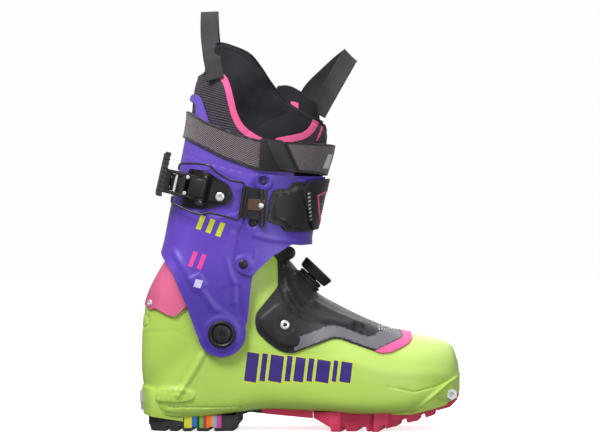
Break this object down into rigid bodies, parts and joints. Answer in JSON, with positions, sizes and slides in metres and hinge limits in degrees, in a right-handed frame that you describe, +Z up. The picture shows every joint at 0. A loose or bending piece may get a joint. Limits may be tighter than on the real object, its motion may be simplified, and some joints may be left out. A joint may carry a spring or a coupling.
{
  "type": "ski touring boot",
  "caption": "Right ski touring boot: a shoe-shaped hard shell on rubber soles, a hinged upright cuff with lever buckle, strap and dial, and a padded liner.",
  "frame": {"origin": "on the ground, on the flat front lug of the heel tread, straight below the cuff's pivot axis and midway between the pivots", "axes": "+X towards the toe, +Y towards the inner (medial) side of the foot, +Z up"},
  "size_m": [0.298, 0.1207, 0.3885],
  "materials": {
    "lime_plastic": "satin moulded",
    "violet_plastic": "satin moulded",
    "pink_plastic": "satin moulded",
    "red_rubber": "matte",
    "black_rubber": "matte",
    "black_plastic": "satin moulded",
    "liner_foam": "knit over foam",
    "webbing": "woven",
    "strap_weave": "woven with pale threads",
    "steel": "satin",
    "bronze_plate": "satin",
    "membrane": "coated fabric"
  },
  "bodies": {
    "lower_boot": {"lower_shell": "lime_plastic", "boot_board": "black_plastic", "liner_boot": "liner_foam", "footbed": "webbing", "sole_front": "red_rubber", "sole_arch": "black_rubber", "sole_heel": "black_rubber", "toe_fitting_lateral": "steel", "toe_fitting_medial": "steel", "heel_fitting": "steel", "lock_spine": "pink_plastic", "spine_screw": "steel", "gaiter": "membrane", "gaiter_toe_trim": "pink_plastic", "gaiter_screw_lateral": "steel", "gaiter_screw_medial": "steel", "pivot_bolt_lateral": "black_plastic", "pivot_bolt_medial": "black_plastic", "pivot_nut_lateral": "steel", "pivot_nut_medial": "steel", "dial_base": "black_plastic"},
    "dial_spool_body": {"dial_spool": "black_plastic"},
    "dial_grip": {"dial_knob": "black_rubber"},
    "cuff_body": {"pivot_bush_lateral": "black_plastic", "pivot_bush_medial": "black_plastic", "cuff_shell": "violet_plastic", "cuff_flap": "violet_plastic", "flap_rivet_upper": "black_plastic", "flap_rivet_middle": "black_plastic", "flap_rivet_lower": "black_plastic", "shin_plate": "black_plastic", "shin_cover": "black_plastic", "plate_rivet": "steel", "catch_plate": "black_plastic", "catch_tab": "bronze_plate", "catch_rivet": "steel", "buckle_base": "black_plastic", "buckle_rivet": "steel", "lever_pin": "steel", "power_strap": "strap_weave", "strap_keeper": "webbing", "strap_tail": "strap_weave", "liner_shaft": "liner_foam", "liner_tongue": "liner_foam", "pull_loop_rear": "webbing", "pull_loop_front": "webbing"},
    "lever_body": {"buckle_lever": "black_plastic", "bail_rod": "steel"},
    "bail_body": {"wire_bail": "steel"}
  },
  "joints": [
    {"name": "cuff_pivot", "type": "hinge", "parent": "lower_boot", "child": "cuff_body", "pos_m": [0, 0, 0.09], "axis": [0, 1, 0], "range_deg": [-50, 8]},
    {"name": "buckle_lever_hinge", "type": "hinge", "parent": "cuff_body", "child": "lever_body", "pos_m": [-0.017, -0.05632, 0.222], "axis": [0.2222, 0, 0.975], "range_deg": [0, 115]},
    {"name": "bail_hinge", "type": "hinge", "parent": "lever_body", "child": "bail_body", "pos_m": [-0.04217, -0.04843, 0.22774], "axis": [0.2222, 0, 0.975], "range_deg": [-115, 0]},
    {"name": "dial_turn", "type": "hinge", "parent": "lower_boot", "child": "dial_spool_body", "pos_m": [0.0775, 0, 0.136], "axis": [0.6919, 0, 0.722], "continuous": true},
    {"name": "dial_pull", "type": "slide", "parent": "dial_spool_body", "child": "dial_grip", "axis": [0.6919, 0, 0.722], "range_m": [0, 0.003]}
  ],
  "couplings": [
    {"joint": "bail_hinge", "follows": "buckle_lever_hinge", "ratio": -1}
  ]
}
